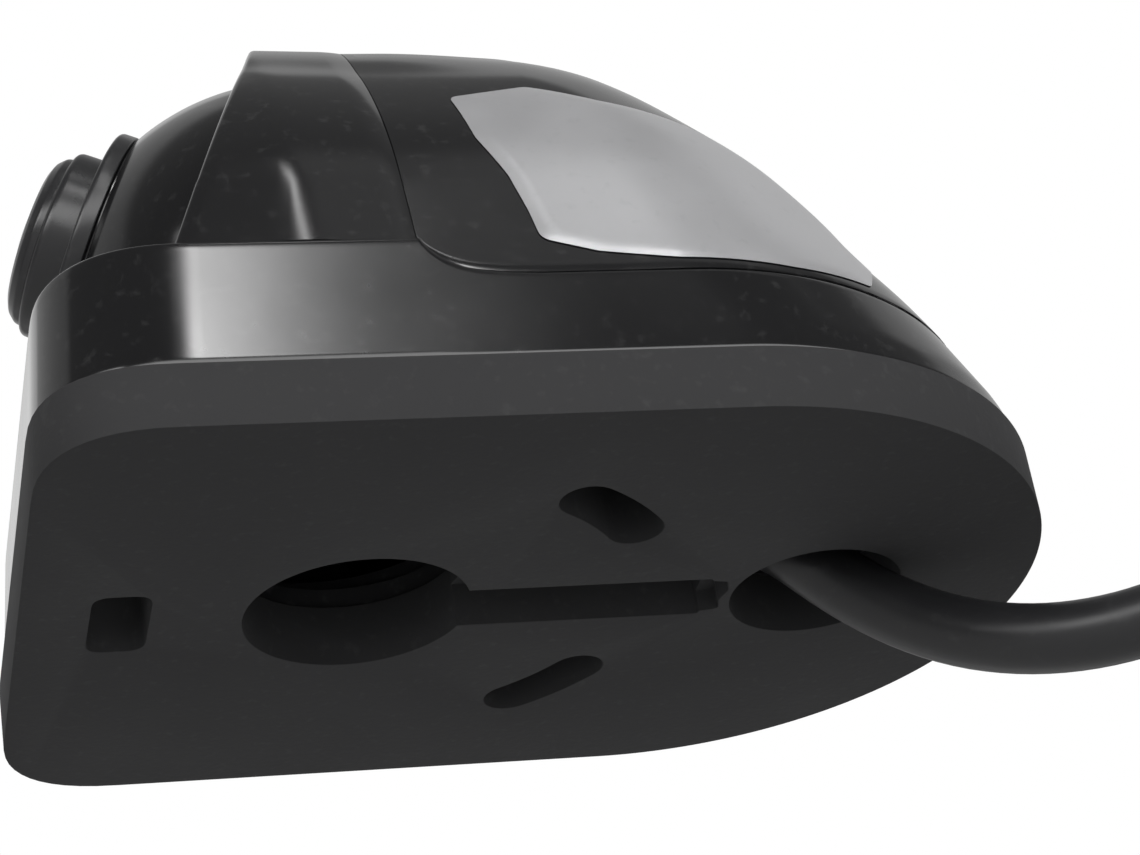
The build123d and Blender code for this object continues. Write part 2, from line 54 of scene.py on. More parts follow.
# the same named shape as the solids: heights, widths and insets in millimetres
PAD_TOP = 5.6
PAD_OUTLINE = (-28.4, 32.4, 59.9, 8.8)
HOLE_R = 9.7
EXIT_X = 40.5
EXIT_R = 7.6
SLOT_CENTRE_X = 3.0
TUB_CORNER = 9.5
TUB_TOP = 17.5
TUB_LEVELS = [(PAD_TOP, -28.0, 31.8, 59.7), (8.0, -27.85, 31.65, 59.0), (TUB_TOP, -27.15, 31.0, 53.6)]
TUB_WALL = 1.8
STEP_Z = 13.8
FLANK_Z = 25.0
FLANK_SLOPE = 0.2914
SIDE_R = 45.0
SIDE_CENTRE = (-14.4, 12.44)
CROWN_R = 20.6
CROWN_Z = 32.2
CROWN_ANGLE = math.radians(53.7)
STEP_X = 2.8
SEAM = 0.08
STEP_CURVE = [(0.0, 17.7), (0.7, 16.5), (1.9, 15.35), (3.6, 14.5), (6.2, 14.0), (9.5, 13.8)]
HOOD_INSET = 0.15
HOOD_WALL = 1.3
HOOD_FRONT = -16.6
HOOD_LEAN = 0.36
HOOD_REAR = 2.85
HOOD_ROLL = (2.2, 0.35)
HOOD_RIDGE_X = -5.9
HOOD_RIDGE_WIDTH = 0.55
HOOD_RIDGE_FALL = 0.065
HOOD_LOW = TUB_TOP + 0.02
CROWN_FADE = (36.0, 50.0)
CROWN_EASE = 0.6
SHOULDER_SWELL = 0.9
COVER_INSET = 0.5
COVER_WALL = 1.5
COVER_FRONT = 2.92
COVER_SINK = (20.0, 50.0, 0.54)
COVER_EDGE = 0.16
LABEL_LIFT = 0.12
LABEL_FILM = 0.16
TONGUE_TOP = 31.0
TAIL_LINE = [(13.0, 56.2), (17.5, 53.6), (22.5, 50.2), (28.0, 47.0), (34.0, 43.0), (39.0, 38.8),
             (43.5, 34.7), (47.0, 30.8), (49.5, 25.8), (51.0, 21.0), (52.0, 16.5), (52.3, 14.0)]
BALL = Vector((-1.7, 0.0, 28.6))
BALL_R = 21.5
BALL_WALL = 2.4
LENS_TILT = 23.6
FLAT_Y = 19.6
SEAM_S = -6.5
SHOULDER_S = 18.2
NECK_R = 11.22
NECK_S = 18.5
FRONT_S = 23.1
BORE_R = 7.6

# cable: the same points as the solid's route, then the turns of the coil
CABLE_R = 3.0
ROUTE = [(15, 1, 10.7), (33.7, 1, 10.7), (46, -3, -5), (57.5, -12, -12.5), (71, -22, -11.8),
         (83, -31, -19.8), (90.6, -36.7, -33.9), (91.5, -37.5, -46)]
COIL_R = 33.0
COIL_TURNS = 2
COIL_PITCH = 6.2
COIL_CENTRE = (91.5, -4.5, -51.0)
TAIL_X = COIL_CENTRE[0] + COIL_TURNS * COIL_PITCH
TAIL_Y = COIL_CENTRE[1] - COIL_R
BOOT_Z = -72.0
PLUG_Z = -81.0

# main view: place in millimetres, direction, direction of its right edge, focal length
VIEW_FROM = (-49.5, -248.4, -125.0)
VIEW_AHEAD = (0.2397, 0.8424, 0.4826)
VIEW_RIGHT = (0.9699, -0.1901, -0.1502)
VIEW_LENS = 105.52
FLOOR_Z = -0.32


# ---- modelling helpers

def deselect():
    """Leave edit mode with nothing chosen."""
    if bpy.context.object and bpy.context.object.mode != "OBJECT":
        bpy.ops.object.mode_set(mode="OBJECT")
    bpy.ops.object.select_all(action="DESELECT")


def pick(obj):
    """Choose one piece for the next tools."""
    deselect()
    obj.select_set(True)
    bpy.context.view_layer.objects.active = obj


def enter(obj, action="SELECT"):
    """Edit mode on one piece, with all of it or nothing of it chosen."""
    pick(obj)
    bpy.ops.object.mode_set(mode="EDIT")
    bpy.ops.mesh.select_all(action=action)


def leave(obj):
    """Turn all faces outwards and leave edit mode."""
    bpy.ops.mesh.select_all(action="SELECT")
    bpy.ops.mesh.normals_make_consistent(inside=False)
    bpy.ops.object.mode_set(mode="OBJECT")
    return obj


def weld(obj, distance=0.00001):
    """Merge doubled points."""
    enter(obj)
    bpy.ops.mesh.remove_doubles(threshold=distance)
    return leave(obj)


def close_holes(obj):
    """Fill the open ends of a piece."""
    enter(obj, "DESELECT")
    bpy.ops.mesh.select_non_manifold()
    bpy.ops.mesh.fill_holes(sides=0)
    return leave(obj)


def sheet_of(name, across, along, place):
    """Grid shaped by a function of two shares from 0 to 1, in millimetres."""
    deselect()
    bpy.ops.mesh.primitive_grid_add(x_subdivisions=across, y_subdivisions=along, size=1.0)
    obj = bpy.context.object
    obj.name = name
    for point in obj.data.vertices:
        point.co = Vector(place(point.co.x + 0.5, point.co.y + 0.5)) * MM
    return obj


def ring_sheet(name, across, along, place):
    """Closed skin: rows of points round an outline, swept round a closed loop of sections."""
    obj = sheet_of(name, across, along, lambda u, v: place(round(u * across) % across, round(v * along) % along))
    return weld(obj)


def corner_round(points, radii, steps=4):
    """Closed outline with each corner replaced by an arc."""
    out = []
    count = len(points)
    for i, point in enumerate(points):
        radius = radii[i] if isinstance(radii, (list, tuple)) else radii
        here = Vector((point[0], point[1]))
        before = Vector(points[i - 1][:2]) - here
        after = Vector(points[(i + 1) % count][:2]) - here
        if radius <= 0 or before.length < 1e-6 or after.length < 1e-6:
            out.append((here.x, here.y))
            continue
        turn = before.angle(after)
        reach = radius / math.tan(turn / 2)
        limit = 0.49 * min(before.length, after.length)
        if reach > limit:
            radius *= limit / reach
            reach = limit
        a = here + before.normalized() * reach
        b = here + after.normalized() * reach
        for k in range(steps + 1):
            t = k / steps
            p = a * (1 - t) ** 2 + here * 2 * t * (1 - t) + b * t * t
            out.append((p.x, p.y))
    return out


def outline_ring(name, points, z=0.0):
    """Circle primitive whose points are moved to an outline."""
    deselect()
    bpy.ops.mesh.primitive_circle_add(vertices=len(points), radius=1.0)
    obj = bpy.context.object
    obj.name = name
    for vert, point in zip(obj.data.vertices, points):
        vert.co = Vector((point[0], point[1], z)) * MM
    return obj


def slab_of(name, points, z0, z1):
    """Outline filled and extruded upwards."""
    obj = outline_ring(name, points, z0)
    enter(obj)
    bpy.ops.mesh.edge_face_add()
    bpy.ops.mesh.extrude_region_move(TRANSFORM_OT_translate={"value": (0, 0, (z1 - z0) * MM)})
    return leave(obj)


def turned(name, profile, steps):
    """Profile of (radius, height) spun about Z."""
    obj = outline_ring(name, profile)
    for vert, point in zip(obj.data.vertices, profile):
        vert.co = Vector((max(point[0], 0.0), 0, point[1])) * MM
    enter(obj)
    bpy.ops.mesh.spin(steps=steps, angle=2 * math.pi, center=(0, 0, 0), axis=(0, 0, 1))
    return weld(obj, 0.000004)


def cut(obj, *tools):
    """Take tools away from a piece, and remove them."""
    for tool in tools:
        pick(obj)
        step = obj.modifiers.new("cut", "BOOLEAN")
        step.operation = "DIFFERENCE"
        step.solver = "EXACT"
        step.object = tool
        bpy.ops.object.modifier_apply(modifier=step.name)
        bpy.data.objects.remove(tool)
    return obj


def join(name, *pieces):
    """Several pieces as one."""
    deselect()
    for piece in pieces:
        piece.select_set(True)
    bpy.context.view_layer.objects.active = pieces[0]
    bpy.ops.object.join()
    obj = bpy.context.object
    obj.name = name
    return obj


def bevel(obj, width, segments=3, angle=40):
    """Round the edges that are sharper than the angle in degrees."""
    pick(obj)
    step = obj.modifiers.new("edges", "BEVEL")
    step.width = width * MM
    step.segments = segments
    step.limit_method = "ANGLE"
    step.angle_limit = math.radians(angle)
    step.use_clamp_overlap = True
    bpy.ops.object.modifier_apply(modifier=step.name)
    return obj


def settle(obj):
    """Put a piece's place into its mesh."""
    pick(obj)
    bpy.ops.object.transform_apply(location=True, rotation=True, scale=True)
    return obj


def block_of(name, x0, x1, y0, y1, z0, z1, edge=0.0):
    """Cube primitive between two corners, with rounded edges."""
    deselect()
    bpy.ops.mesh.primitive_cube_add(size=1.0)
    obj = bpy.context.object
    obj.name = name
    for vert in obj.data.vertices:
        vert.co = Vector((x0 + (vert.co.x + 0.5) * (x1 - x0), y0 + (vert.co.y + 0.5) * (y1 - y0),
                          z0 + (vert.co.z + 0.5) * (z1 - z0))) * MM
    if edge > 0:
        bevel(obj, edge)
    return obj


def side_block(name, side, x0, x1, y0, y1, z0, z1, edge=0.0):
    """Block on one side of the middle plane: side is 1 or -1, and y0 and y1 are distances from the plane."""
    return block_of(name, x0, x1, *sorted((y0 * side, y1 * side)), z0, z1, edge)


def rod_of(name, x, y, z0, z1, radius, steps):
    """Upright cylinder between two heights."""
    deselect()
    bpy.ops.mesh.primitive_cylinder_add(vertices=steps, radius=radius * MM, depth=(z1 - z0) * MM,
                                        location=(x * MM, y * MM, (z0 + z1) / 2 * MM))
    obj = bpy.context.object
    obj.name = name
    return settle(obj)


def finish_piece(obj, angle, body, slot, *nodes):
    """Soft shading up to an angle in degrees, the material of a slot, a body, and the solids that the piece stands for
    hidden.
    """
    pick(obj)
    bpy.ops.object.shade_smooth_by_angle(angle=math.radians(angle))
    obj.data.materials.clear()
    obj.data.materials.append(surface(slot))
    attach(obj, body)
    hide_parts(*nodes)


# ---- shape of the housing

def between(levels, z):
    """Values of a level table at a height."""
    for low, high in zip(levels, levels[1:]):
        if z <= high[0]:
            break
    t = (z - low[0]) / (high[0] - low[0])
    return [a + (b - a) * t for a, b in zip(low[1:], high[1:])]


def through(table, value):
    """Smooth curve through a table of (value, result) pairs."""
    i = 0
    while i < len(table) - 2 and value > table[i + 1][0]:
        i += 1
    start, first = table[i]
    end, last = table[i + 1]
    before = table[max(i - 1, 0)]
    after = table[min(i + 2, len(table) - 1)]
    step = end - start
    rise_in = (last - before[1]) / (end - before[0])
    rise_out = (after[1] - first) / (after[0] - start)
    t = min(max((value - start) / step, -0.2), 1.0)
    return ((2 * t**3 - 3 * t**2 + 1) * first + (t**3 - 2 * t**2 + t) * step * rise_in
            + (-2 * t**3 + 3 * t**2) * last + (t**3 - t**2) * step * rise_out)


def half_width(z, inset):
    """Half width of the arched section at a height."""
    if z <= FLANK_Z:
        return 31.0 - FLANK_SLOPE * (z - TUB_TOP) - inset * math.hypot(1, FLANK_SLOPE)
    if z <= CROWN_Z + (CROWN_R - inset) * math.sin(CROWN_ANGLE):
        return SIDE_CENTRE[0] + math.sqrt((SIDE_R - inset) ** 2 - (z - SIDE_CENTRE[1]) ** 2)
    return math.sqrt(max((CROWN_R - inset) ** 2 - (z - CROWN_Z) ** 2, 0.0))


def arch_section(share, inset, low):
    """Point (y, z) on one half of the arch: 0 at the foot, 1 at the crown."""
    flank_angle = math.radians(16.2)
    flank, side = 0.16, 0.6
    if share <= flank:
        z = low + (FLANK_Z - low) * share / flank
        return half_width(z, inset), z
    if share <= side:
        a = flank_angle + (CROWN_ANGLE - flank_angle) * (share - flank) / (side - flank)
        r = SIDE_R - inset
        return SIDE_CENTRE[0] + r * math.cos(a), SIDE_CENTRE[1] + r * math.sin(a)
    a = CROWN_ANGLE + (math.pi / 2 - CROWN_ANGLE) * (share - side) / (1 - side)
    r = CROWN_R - inset
    return r * math.cos(a), CROWN_Z + r * math.sin(a)


def side_stations(start, end, count):
    """Stations along a side: close together where the step curves down, even elsewhere."""
    curve_from, curve_to = STEP_X - 0.3, STEP_X + STEP_CURVE[-1][0]
    if start > curve_from or end < curve_to:
        return [start + (end - start) * k / count for k in range(count)]
    outer = count // 4
    middle = count - 2 * outer
    stations = [start + (curve_from - start) * k / outer for k in range(outer)]
    stations += [curve_from + (curve_to - curve_from) * (k / middle) ** 1.5 for k in range(middle)]
    return stations + [curve_to + (end - curve_to) * k / outer for k in range(outer)]


def swollen(x, y, z):
    """Point of the arch moved out at the shoulder: fullest along the hood, gone where the cover bends round."""
    around = math.degrees(math.atan2(z - CROWN_Z, abs(y)))
    if around <= 30 or around >= 90:
        return x, y, z
    fade = min(max((24.0 - x) / 18.0, 0.0), 1.0)
    swell = SHOULDER_SWELL * fade * fade * (3 - 2 * fade) * math.sin(math.pi * (around - 30) / 60) ** 2
    out = Vector((y, z - CROWN_Z)).normalized() * swell
    return x, y + out.x, z + out.y


def corner_arc(reach, count):
    """Quarter of a corner that starts and ends gently, as (along, across) from 0 to the reach."""
    power = 2 / 2.5
    arc = []
    for k in range(count):
        a = math.radians(90 * k / count)
        arc.append((reach * math.sin(a) ** power, reach * math.cos(a) ** power))
    return arc


def d_outline(front, half, tail, corner, counts=(20, 12, 40, 96)):
    """Flat front with round corners, straight sides and a half-round tail, as points."""
    flat, bend, side, back = counts
    centre = tail - half
    reach = corner * 1.25
    arc = corner_arc(reach, bend)
    stations = side_stations(front + reach, centre, side)
    points = [(front, (half - reach) * (1 - 2 * (k / flat))) for k in range(flat)]
    points += [(front + reach - across, -half + reach - along) for along, across in arc]
    points += [(x, -half) for x in stations]
    for k in range(back):
        a = math.radians(-90 + 180 * k / back)
        points.append((centre + half * math.cos(a), half * math.sin(a)))
    points.append((centre, half))
    points += [(x, half) for x in reversed(stations[1:])]
    points += [(front + reach - along, half - reach + across) for along, across in arc]
    return points


def step_height(x):
    """Height of the parting line along the side: high in front, a hollow curve down, low behind."""
    behind = x - STEP_X
    if behind <= 0:
        return TUB_TOP
    if behind >= STEP_CURVE[-1][0]:
        return STEP_Z
    return min(TUB_TOP, through(STEP_CURVE, behind))


def step_lean(x):
    """Unit normal (x, z) of the parting line, upwards."""
    slope = (step_height(x + 0.05) - step_height(x - 0.05)) / 0.1
    length = math.hypot(slope, 1)
    return -slope / length, 1 / length


# ---- materials

GRAIN_DEPTH = 0.1 * MM
DARK = (0.012, 0.012, 0.013)
# by slot: material, colour, roughness and its spread, grain size, bump, and what differs from the usual
FINISHES = {
    "rubber_black": ("pad rubber", "pad_colour", 0.8, 0.05, 1500, 0.3,
                     dict(wave=60, dust=0.04, Specular_IOR_Level=0.25)),
    "gloss_black": ("gloss black plastic", "shell_colour", 0.12, 0.03, 260, 0.02,
                    dict(wave=45, dust=0.05, shade=0.12, IOR=1.5)),
    "cable_black": ("cable jacket", (0.011, 0.011, 0.012), 0.36, 0.05, 900, 0.06,
                    dict(wave=120, dust=0.03, shade=0.2)),
    "bezel_black": ("bezel plastic", DARK, 0.3, 0.05, 1800, 0.05, dict(wave=150, dust=0.04)),
    "label_silver": ("label film", "label_colour", 0.34, 0.06, 420, 0.12,
                     dict(wave=110, shade=0.1, dust_grey=(0.16, 0.16, 0.17), Metallic=0.55)),
    "matte_black": ("dark nylon", DARK, 0.45, 0.05, 1400, 0.15, {}),
    "black_steel": ("black coated steel", DARK, 0.5, 0.08, 1600, 0.2, dict(wave=60)),
    "steel": ("zinc steel", (0.55, 0.55, 0.56), 0.32, 0.08, 1400, 0.06, dict(wave=200, dust=0.03, Metallic=1.0)),
    "nickel": ("satin nickel", (0.6, 0.59, 0.56), 0.24, 0.06, 1200, 0.05, dict(wave=160, dust=0.04, Metallic=1.0)),
    "pin_brass": ("gilded pins", (0.75, 0.55, 0.2), 0.2, 0.04, 1500, 0.03, dict(Metallic=1.0)),
    "black_aluminium": ("black anodised", (0.01, 0.01, 0.011), 0.35, 0.05, 1800, 0.05, dict(Metallic=0.6)),
    "board_green": ("board mask", (0.01, 0.09, 0.035), 0.3, 0.06, 500, 0.1, dict(wave=300)),
    "sensor_grey": ("sensor face", (0.05, 0.05, 0.07), 0.15, 0.03, 600, 0.03, {}),
    "glass_clear": ("window glass", (0.35, 0.37, 0.4), 0.03, 0.01, 200, 0.0,
                    dict(dust=0.02, Transmission_Weight=1.0, IOR=1.5)),
    "lens_glass": ("coated lens", (0.25, 0.2, 0.35), 0.03, 0.01, 200, 0.0,
                   dict(dust=0.0, Transmission_Weight=0.9, IOR=1.6)),
    "filter_glass": ("filter glass", (0.25, 0.5, 0.5), 0.04, 0.01, 200, 0.0,
                     dict(dust=0.0, Transmission_Weight=0.9, IOR=1.5)),
}


def node(tree, kind, **values):
    """New node with its settings."""
    item = tree.nodes.new(kind)
    for key, value in values.items():
        setattr(item, key, value)
    return item


def math_node(tree, operation, first, second):
    """Sum, product or other result of two values or sockets."""
    item = node(tree, "ShaderNodeMath", operation=operation)
    for socket, value in zip(item.inputs, (first, second)):
        if isinstance(value, float):
            socket.default_value = value
        else:
            tree.links.new(value, socket)
    return item.outputs["Value"]


def step_node(tree, value, start, end, smooth=True):
    """0 before the start and 1 after the end."""
    item = node(tree, "ShaderNodeMapRange", interpolation_type="SMOOTHSTEP" if smooth else "LINEAR")
    item.inputs["From Min"].default_value = start
    item.inputs["From Max"].default_value = end
    tree.links.new(value, item.inputs["Value"])
    return item.outputs["Result"]


def surface_group():
    """Fine grain, slow waves and faint dust for moulded surfaces."""
    name = "moulded surface"
    if name in bpy.data.node_groups:
        return bpy.data.node_groups[name]
    group = bpy.data.node_groups.new(name, "ShaderNodeTree")
    link = group.links.new
    face = group.interface
    for label in ("Grain size", "Wave size", "Dust amount"):
        face.new_socket(label, in_out="INPUT", socket_type="NodeSocketFloat")
    for label in ("Height", "Waves", "Dust"):
        face.new_socket(label, in_out="OUTPUT", socket_type="NodeSocketFloat")
    start = node(group, "NodeGroupInput")
    end = node(group, "NodeGroupOutput")
    place = node(group, "ShaderNodeTexCoord")
    grain, wave, speck = (node(group, "ShaderNodeTexNoise") for _ in range(3))
    for noise, detail in ((grain, 2.0), (wave, 3.0), (speck, 6.0)):
        noise.inputs["Detail"].default_value = detail
        link(place.outputs["Object"], noise.inputs["Vector"])
    speck.inputs["Scale"].default_value = 900.0
    mask = step_node(group, speck.outputs["Fac"], 0.58, 0.75, smooth=False)
    dust = math_node(group, "MULTIPLY", mask, start.outputs["Dust amount"])
    link(start.outputs["Grain size"], grain.inputs["Scale"])
    link(start.outputs["Wave size"], wave.inputs["Scale"])
    link(grain.outputs["Fac"], end.inputs["Height"])
    link(wave.outputs["Fac"], end.inputs["Waves"])
    link(dust, end.inputs["Dust"])
    return group


def finish(name, colour, rough, spread, grain, bump, wave=90.0, dust=0.1, shade=0.15, dust_grey=(0.25, 0.25, 0.25),
           **sockets):
    """Material with a grained bump, slow changes of colour and gloss, and faint dust."""
    if name in bpy.data.materials:
        return bpy.data.materials[name]
    material = bpy.data.materials.new(name)
    material.use_nodes = True
    tree = material.node_tree
    shader = tree.nodes["Principled BSDF"]
    group = node(tree, "ShaderNodeGroup")
    group.node_tree = surface_group()
    for key, value in (("Grain size", grain), ("Wave size", wave), ("Dust amount", dust)):
        group.inputs[key].default_value = value
    colours = node(tree, "ShaderNodeMixRGB")
    colours.inputs[1].default_value = [c * (1 - shade) for c in colour] + [1]
    colours.inputs[2].default_value = [min(c * (1 + shade), 1) for c in colour] + [1]
    dusty = node(tree, "ShaderNodeMixRGB")
    dusty.inputs[2].default_value = [*dust_grey, 1]
    gloss = node(tree, "ShaderNodeMapRange")
    for key, value in (("From Min", 0.3), ("From Max", 0.7), ("To Min", max(rough - spread, 0.01)),
                       ("To Max", rough + spread)):
        gloss.inputs[key].default_value = value
    relief = node(tree, "ShaderNodeBump")
    relief.inputs["Strength"].default_value = bump
    relief.inputs["Distance"].default_value = GRAIN_DEPTH
    link = tree.links.new
    link(group.outputs["Waves"], colours.inputs[0])
    link(colours.outputs[0], dusty.inputs[1])
    link(group.outputs["Dust"], dusty.inputs[0])
    link(dusty.outputs[0], shader.inputs["Base Color"])
    link(group.outputs["Waves"], gloss.inputs["Value"])
    link(gloss.outputs["Result"], shader.inputs["Roughness"])
    link(group.outputs["Height"], relief.inputs["Height"])
    link(relief.outputs["Normal"], shader.inputs["Normal"])
    for key, value in sockets.items():
        shader.inputs[key.replace("_", " ")].default_value = value
    return material


def surface(slot):
    """Material of a slot; a colour given by name is one of the settings."""
    name, colour, rough, spread, grain, bump, more = FINISHES[slot]
    if isinstance(colour, str):
        colour = tuple(getattr(bpy.context.scene.camera_part_look, colour))
    return finish(name, colour, rough, spread, grain, bump, **more)


# ---- settings

class CameraPartSizes(bpy.types.PropertyGroup):
    """Sizes that a user would change"""
    pad_edge: bpy.props.FloatProperty(
        name="Pad edge", description="Rounding of the pad's edges", default=0.45 * MM, min=0.1 * MM, max=1.0 * MM,
        precision=5, unit="LENGTH")
    rim_round: bpy.props.FloatProperty(
        name="Rim rounding", description="Rounding of the tub's rim", default=0.4 * MM, min=0.1 * MM, max=0.8 * MM,
        precision=5, unit="LENGTH")
    cable_length: bpy.props.FloatProperty(
        name="Cable length", description="Whole length of the cable", default=0.562, min=0.1, max=20.0, unit="LENGTH")
    tie_width: bpy.props.FloatProperty(
        name="Tie width", description="Width of the cable tie", default=4.5 * MM, min=2.0 * MM, max=6.0 * MM,
        precision=5, unit="LENGTH")


class CameraPartLook(bpy.types.PropertyGroup):
    """Colours of the part and light of the stage"""
    shell_colour: bpy.props.FloatVectorProperty(
        name="Shell", description="Colour of the glossy shells", subtype="COLOR", default=(0.0045, 0.0045, 0.005),
        min=0.0, max=1.0)
    pad_colour: bpy.props.FloatVectorProperty(
        name="Pad", description="Colour of the soft pad", subtype="COLOR", default=(0.026, 0.026, 0.027),
        min=0.0, max=1.0)
    label_colour: bpy.props.FloatVectorProperty(
        name="Label", description="Colour of the bare label", subtype="COLOR", default=(0.45, 0.45, 0.46),
        min=0.0, max=1.0)
    floor_colour: bpy.props.FloatVectorProperty(
        name="Floor", description="Colour of the floor", subtype="COLOR", default=(0.8, 0.8, 0.8), min=0.0, max=1.0)
    room_light: bpy.props.FloatProperty(
        name="Room light", description="Strength of the even light", default=0.22, min=0.0, max=2.0, subtype="FACTOR")
    panel_light: bpy.props.FloatProperty(
        name="Panel light", description="Strength of the soft panels", default=1.0, min=0.0, max=5.0, subtype="FACTOR")


# ---- operators

class PART_OT_view_camera(bpy.types.Operator):
    """Camera at the lower front left, looking up at the base"""
    bl_idname = "camera_part.view_camera"
    bl_label = "View camera"

    def execute(self, context):
        data = bpy.data.cameras.new("view")
        camera = bpy.data.objects.new("view", data)
        context.scene.collection.objects.link(camera)
        right = Vector(VIEW_RIGHT)
        forward = Vector(VIEW_AHEAD).normalized()
        right = (right - forward * right.dot(forward)).normalized()
        up = right.cross(forward)
        turn = Matrix((right, up, -forward)).transposed()
        camera.matrix_world = Matrix.Translation(Vector(VIEW_FROM) * MM) @ turn.to_4x4()
        data.sensor_width = 36.0
        data.sensor_fit = "HORIZONTAL"
        data.lens = VIEW_LENS
        data.clip_start = 0.01
        data.clip_end = 20.0
        context.scene.camera = camera
        return {"FINISHED"}


class PART_OT_cable(bpy.types.Operator):
    """Cable as one curve: its route, the turns of its coil and its straight end"""
    bl_idname = "camera_part.cable"
    bl_label = "Cable"

    def execute(self, context):
        points = [Vector(p) for p in ROUTE]
        per_turn = 16
        # the curve runs just inside its points, so that the points lie a little further out
        wide = COIL_R * 1.006
        for i in range(1, COIL_TURNS * per_turn):
            a = math.pi + 2 * math.pi * i / per_turn
            points.append(Vector((COIL_CENTRE[0] + COIL_PITCH * i / per_turn,
                                  COIL_CENTRE[1] + wide * math.cos(a), COIL_CENTRE[2] + wide * math.sin(a))))
        points += [Vector((TAIL_X, TAIL_Y, z)) for z in (COIL_CENTRE[2], COIL_CENTRE[2] - 14, PLUG_Z - 2)]
        data = bpy.data.curves.new("cable_line", "CURVE")
        data.dimensions = "3D"
        line = data.splines.new("NURBS")
        line.points.add(len(points) - 1)
        for spot, point in zip(line.points, points):
            spot.co = (*(point * MM), 1.0)
        line.order_u = 3
        line.use_endpoint_u = True
        data.bevel_depth = CABLE_R * MM
        data.bevel_resolution = 8
        data.resolution_u = 12
        data.use_fill_caps = True
        cable = bpy.data.objects.new("cable_line", data)
        context.scene.collection.objects.link(cable)
        data.materials.append(surface("cable_black"))
        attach(cable, "housing")
        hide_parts("cable", "cable_coil", "cable_tail")
        return {"FINISHED"}


class PART_OT_gasket(bpy.types.Operator):
    """Soft pad with its holes, slots and cable groove"""
    bl_idname = "camera_part.gasket"
    bl_label = "Base pad"

    def execute(self, context):
        edge = context.scene.camera_part_sizes.pad_edge / MM
        pad = slab_of("pad", d_outline(*PAD_OUTLINE), 0.0, PAD_TOP)
        tools = [rod_of("t", 0, 0, -2, 8, HOLE_R, 96), rod_of("t", EXIT_X, 0, -2, 8, EXIT_R, 96)]
        slot = corner_round([(-22.5, -4.95), (-17.5, -4.95), (-17.5, 4.95), (-22.5, 4.95)], 1.6, 6)
        tools.append(slab_of("t", slot, -2, 8))
        for side in (1, -1):
            tools.append(slab_of("t", arc_slot(22.6, 2.4, 34.6, 53.4, side), -2, 8))
        groove = [(5, -3.2), (30.6, -3.2), (30.6, 3.2), (5, 3.2)]
        tools.append(slab_of("t", corner_round(groove, 0.3, 2), -2, 4.0))
        ledge = [(29, -3.0), (32.0, -2.6), (32.4, -1.0), (31.9, 0.8), (32.3, 2.4), (29, 3.0)]
        tools.append(slab_of("t", corner_round(ledge, 0.4, 2), -2, 2.0))
        cut(pad, *tools)
        bevel(pad, edge, 3, 50)
        finish_piece(weld(pad, 0.000002), 40, "housing", "rubber_black", "base_gasket")
        return {"FINISHED"}


def arc_slot(radius, half, start, end, side):
    """Outline of a curved slot with round ends, about the slots' common centre."""
    start, end = math.radians(start), math.radians(end)

    def around(r, a):
        return SLOT_CENTRE_X + r * math.cos(a), r * math.sin(a)

    def cap(a, turn):
        x, y = around(radius, a)
        return [(x + half * math.cos(turn + math.pi * k / 12), y + half * math.sin(turn + math.pi * k / 12))
                for k in range(1, 12)]

    angles = [start + (end - start) * k / 24 for k in range(25)]
    loop = [around(radius + half, a) for a in angles] + cap(end, end)
    loop += [around(radius - half, a) for a in reversed(angles)] + cap(start, start + math.pi)
    return [(x, y * side) for x, y in loop]


class PART_OT_lower_housing(bpy.types.Operator):
    """Drafted tub with a rounded rim, screw bosses and ledges"""
    bl_idname = "camera_part.lower_housing"
    bl_label = "Lower housing"

    def execute(self, context):
        r = context.scene.camera_part_sizes.rim_round / MM
        counts = (30, 20, 96, 120)
        wall = TUB_WALL
        # rows of (share of the height, drop below the top, inset)
        rows = [(0.0, 0.0, 0.12), (0.02, 0.0, 0.0)]
        rows += [(k / 12, 0.0, 0.0) for k in range(1, 12)]
        rows += [(1.0, r * (1 - math.sin(a)), r * (1 - math.cos(a))) for a in map(math.radians, (0, 22, 45, 68, 90))]
        rows += [(1.0, 0.0, wall - 0.25), (1.0, 0.25, wall)]
        rows += [(1 - k / 6, 0.0, wall) for k in range(1, 7)]
        stations = [x for x, _ in d_outline(*between(TUB_LEVELS, 14.5), TUB_CORNER, counts)]
        outlines = {}

        def at(i, j):
            share, drop, inset = rows[j]
            station = stations[i]
            lean_x, lean_z = step_lean(station)
            z = PAD_TOP + (step_height(station) - PAD_TOP) * share - drop * lean_z
            front, half, tail = between(TUB_LEVELS, z)
            level = (round(z, 3), inset)
            if level not in outlines:
                outlines[level] = d_outline(front + inset, half - inset, tail - inset, TUB_CORNER - inset, counts)
            x, y = outlines[level][i]
            return x - drop * lean_x, y, z

        tub = ring_sheet("tub_wall", len(stations), len(rows), at)
        inner = []
        for side in (1, -1):
            inner.append(rod_of("b", -21.7, 25.4 * side, 7.6, 14.0, 3.4, 48))
            inner.append(rod_of("b", 38.3, 23.1 * side, 7.6, 13.0, 3.4, 48))
            inner.append(side_block("b", side, -9, -1, 22.5, 29.6, 12.0, 14.5, 0.3))
            inner.append(side_block("b", side, 20, 28, 22.0, 29.4, 11.4, 13.8, 0.3))
        tub = join("tub", tub, *inner)
        finish_piece(tub, 40, "housing", "gloss_black", "lower_housing")
        return {"FINISHED"}


def hood_draw(x):
    """How far the hood's skin falls away in front of and behind its soft ridge."""
    return HOOD_RIDGE_FALL * (math.hypot(x - HOOD_RIDGE_X, HOOD_RIDGE_WIDTH) - HOOD_RIDGE_WIDTH)


def crown_share(z):
    """0 on the flanks, 1 at the top of the arch."""
    low, high = CROWN_FADE
    t = min(1.0, max(0.0, (z - low) / (high - low)))
    return t * t * (3 - 2 * t)


